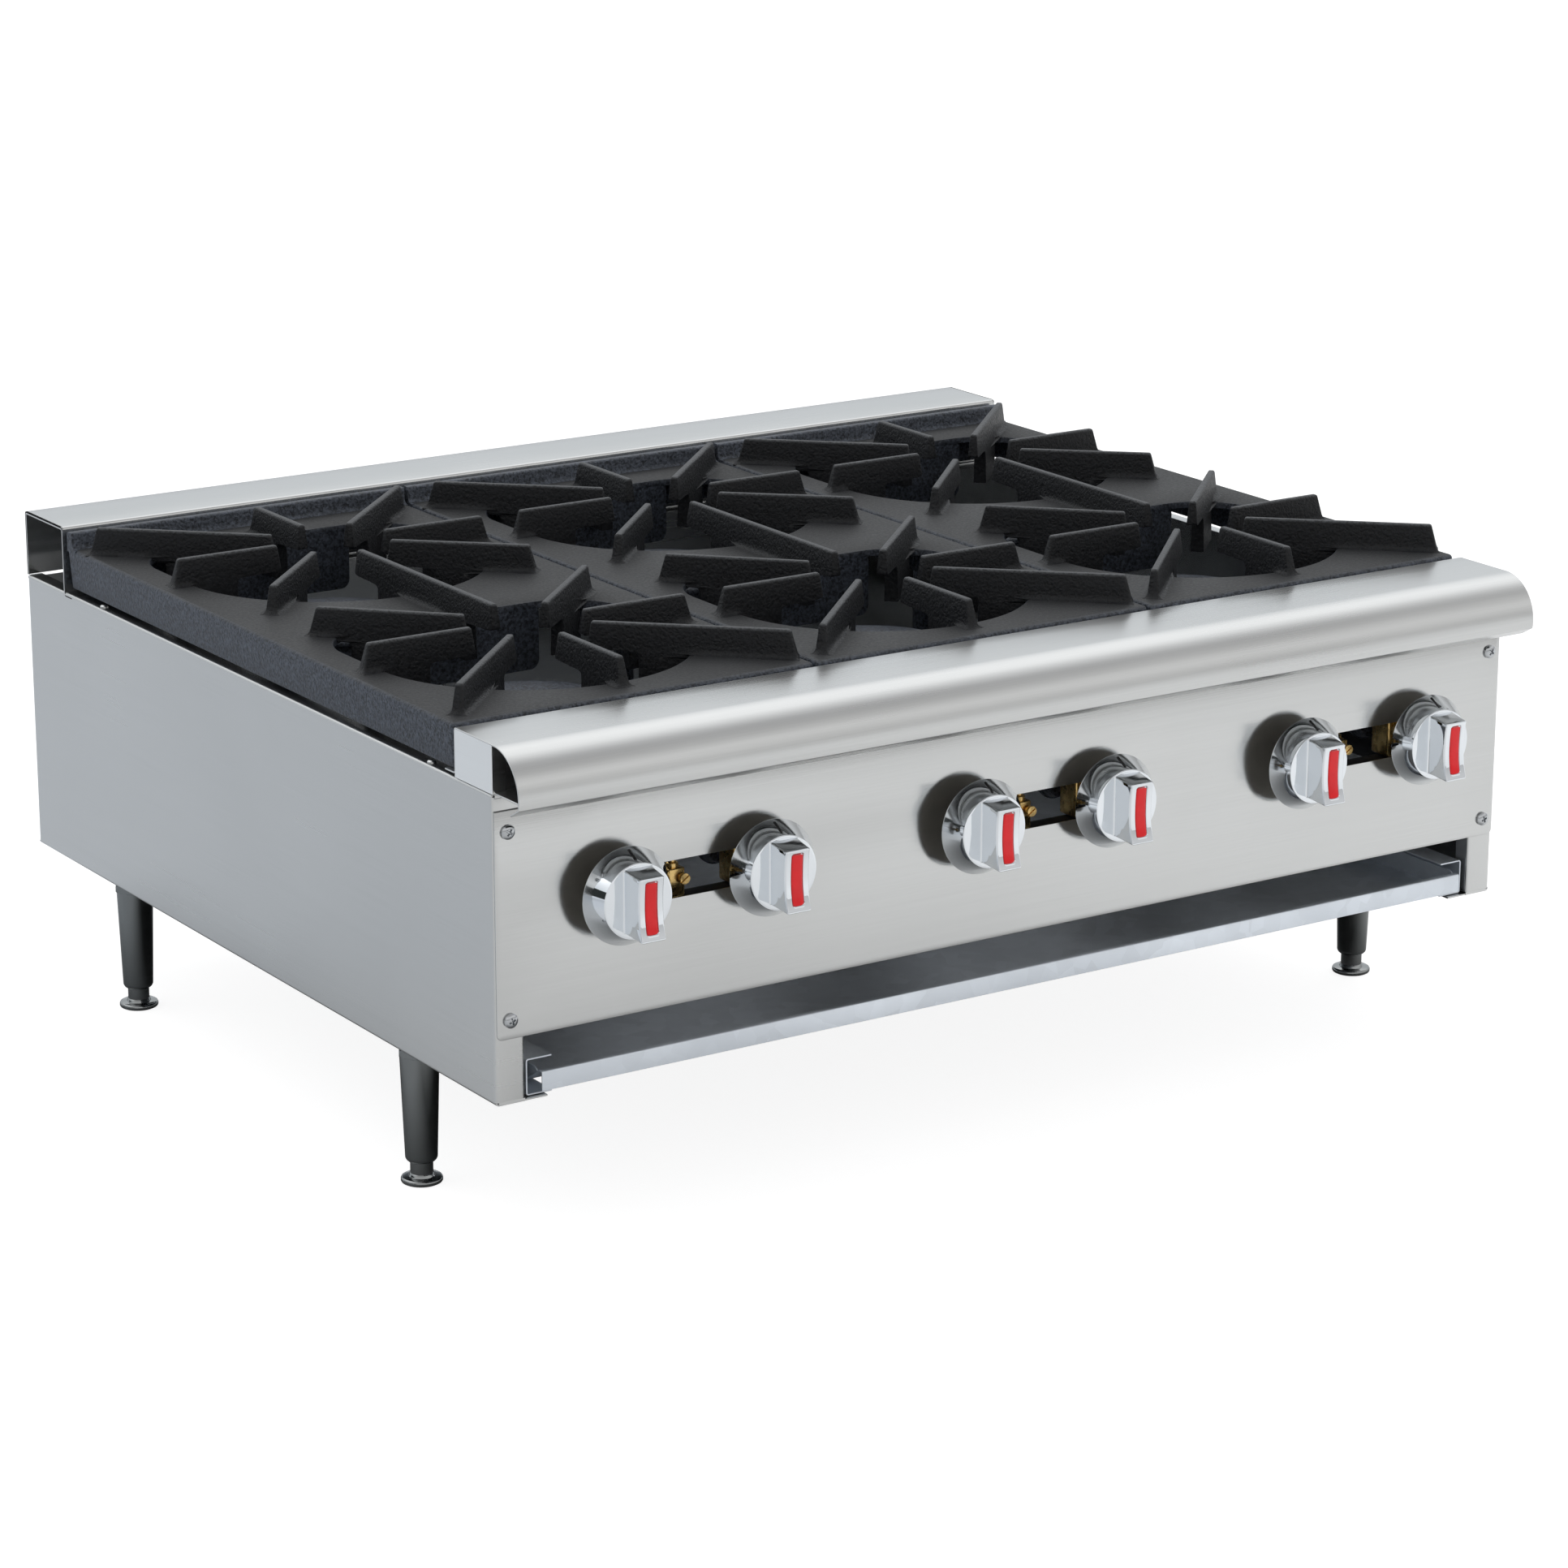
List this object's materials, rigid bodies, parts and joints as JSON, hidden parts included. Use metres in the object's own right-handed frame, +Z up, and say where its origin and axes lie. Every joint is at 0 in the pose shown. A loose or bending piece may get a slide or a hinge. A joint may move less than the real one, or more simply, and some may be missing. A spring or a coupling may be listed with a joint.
{
  "type": "countertop gas range",
  "caption": "Low stainless steel countertop gas range with cast-iron grates over round burners, a rolled front rail, turn knobs, a pull-out crumb tray and adjustable legs.",
  "frame": {"origin": "on the floor under the middle of the bounding box", "axes": "+Z up, -Y to the front where the knobs are, +X to the right of a person at the front"},
  "size_m": [0.9144, 0.825, 0.3915],
  "materials": {
    "stainless": "fine brushed stainless steel",
    "galvanised": "satin zinc-coated sheet",
    "dark_steel": "dark oxidised steel",
    "cast_iron": "seasoned sand-cast iron",
    "brass": "machined brass",
    "knob_chrome": "bright chrome plating",
    "screw_chrome": "bright plated steel",
    "leg_nickel": "dark nickel plating",
    "red_plastic": "glossy"
  },
  "bodies": {
    "case": {"side_panel_left": "stainless", "tray_runner_left": "dark_steel", "side_panel_right": "stainless", "tray_runner_right": "dark_steel", "back_panel": "stainless", "backguard": "stainless", "bullnose_rail": "stainless", "control_panel": "stainless", "gas_manifold": "dark_steel", "burner_rail_front": "dark_steel", "burner_rail_rear": "dark_steel", "gas_valve_1": "brass", "gas_valve_2": "brass", "gas_valve_3": "brass", "gas_valve_4": "brass", "gas_valve_5": "brass", "gas_valve_6": "brass", "pilot_left": "brass", "burner_front_left": "cast_iron", "burner_rear_left": "cast_iron", "pilot_centre": "brass", "burner_front_centre": "cast_iron", "burner_rear_centre": "cast_iron", "pilot_right": "brass", "burner_front_right": "cast_iron", "burner_rear_right": "cast_iron", "panel_screw_lower_left": "screw_chrome", "panel_screw_upper_left": "screw_chrome", "leg_front_left": "leg_nickel", "leg_rear_left": "leg_nickel", "panel_screw_lower_right": "screw_chrome", "panel_screw_upper_right": "screw_chrome", "leg_front_right": "leg_nickel", "leg_rear_right": "leg_nickel"},
    "knob_1_turning": {"knob_1": "knob_chrome", "knob_inlay_1": "red_plastic", "valve_stem_1": "brass"},
    "knob_2_turning": {"knob_2": "knob_chrome", "knob_inlay_2": "red_plastic", "valve_stem_2": "brass"},
    "knob_3_turning": {"knob_3": "knob_chrome", "knob_inlay_3": "red_plastic", "valve_stem_3": "brass"},
    "knob_4_turning": {"knob_4": "knob_chrome", "knob_inlay_4": "red_plastic", "valve_stem_4": "brass"},
    "knob_5_turning": {"knob_5": "knob_chrome", "knob_inlay_5": "red_plastic", "valve_stem_5": "brass"},
    "knob_6_turning": {"knob_6": "knob_chrome", "knob_inlay_6": "red_plastic", "valve_stem_6": "brass"},
    "tray": {"crumb_tray": "galvanised"},
    "grate_left_lifting": {"grate_left": "cast_iron"},
    "grate_centre_lifting": {"grate_centre": "cast_iron"},
    "grate_right_lifting": {"grate_right": "cast_iron"},
    "foot_front_left_screwing": {"foot_front_left": "screw_chrome"},
    "foot_front_right_screwing": {"foot_front_right": "screw_chrome"},
    "foot_rear_left_screwing": {"foot_rear_left": "screw_chrome"},
    "foot_rear_right_screwing": {"foot_rear_right": "screw_chrome"}
  },
  "joints": [
    {"name": "knob_1_turn", "type": "hinge", "parent": "case", "child": "knob_1_turning", "pos_m": [-0.359, -0.3895, 0.2473], "axis": [0, -1, 0], "range_deg": [0, 90]},
    {"name": "knob_2_turn", "type": "hinge", "parent": "case", "child": "knob_2_turning", "pos_m": [-0.238, -0.3895, 0.2473], "axis": [0, -1, 0], "range_deg": [0, 90]},
    {"name": "knob_3_turn", "type": "hinge", "parent": "case", "child": "knob_3_turning", "pos_m": [-0.0542, -0.3895, 0.2473], "axis": [0, -1, 0], "range_deg": [0, 90]},
    {"name": "knob_4_turn", "type": "hinge", "parent": "case", "child": "knob_4_turning", "pos_m": [0.0668, -0.3895, 0.2473], "axis": [0, -1, 0], "range_deg": [0, 90]},
    {"name": "knob_5_turn", "type": "hinge", "parent": "case", "child": "knob_5_turning", "pos_m": [0.2506, -0.3895, 0.2473], "axis": [0, -1, 0], "range_deg": [0, 90]},
    {"name": "knob_6_turn", "type": "hinge", "parent": "case", "child": "knob_6_turning", "pos_m": [0.3716, -0.3895, 0.2473], "axis": [0, -1, 0], "range_deg": [0, 90]},
    {"name": "tray_pull", "type": "slide", "parent": "case", "child": "tray", "axis": [0, -1, 0], "range_m": [0, 0.62]},
    {"name": "grate_left_lift", "type": "slide", "parent": "case", "child": "grate_left_lifting", "axis": [0, 0, 1], "range_m": [0, 0.15]},
    {"name": "grate_centre_lift", "type": "slide", "parent": "case", "child": "grate_centre_lifting", "axis": [0, 0, 1], "range_m": [0, 0.15]},
    {"name": "grate_right_lift", "type": "slide", "parent": "case", "child": "grate_right_lifting", "axis": [0, 0, 1], "range_m": [0, 0.15]},
    {"name": "foot_front_left_adjust", "type": "slide", "parent": "case", "child": "foot_front_left_screwing", "axis": [0, 0, -1], "range_m": [-0.008, 0.025]},
    {"name": "foot_front_right_adjust", "type": "slide", "parent": "case", "child": "foot_front_right_screwing", "axis": [0, 0, -1], "range_m": [-0.008, 0.025]},
    {"name": "foot_rear_left_adjust", "type": "slide", "parent": "case", "child": "foot_rear_left_screwing", "axis": [0, 0, -1], "range_m": [-0.008, 0.025]},
    {"name": "foot_rear_right_adjust", "type": "slide", "parent": "case", "child": "foot_rear_right_screwing", "axis": [0, 0, -1], "range_m": [-0.008, 0.025]}
  ]
}
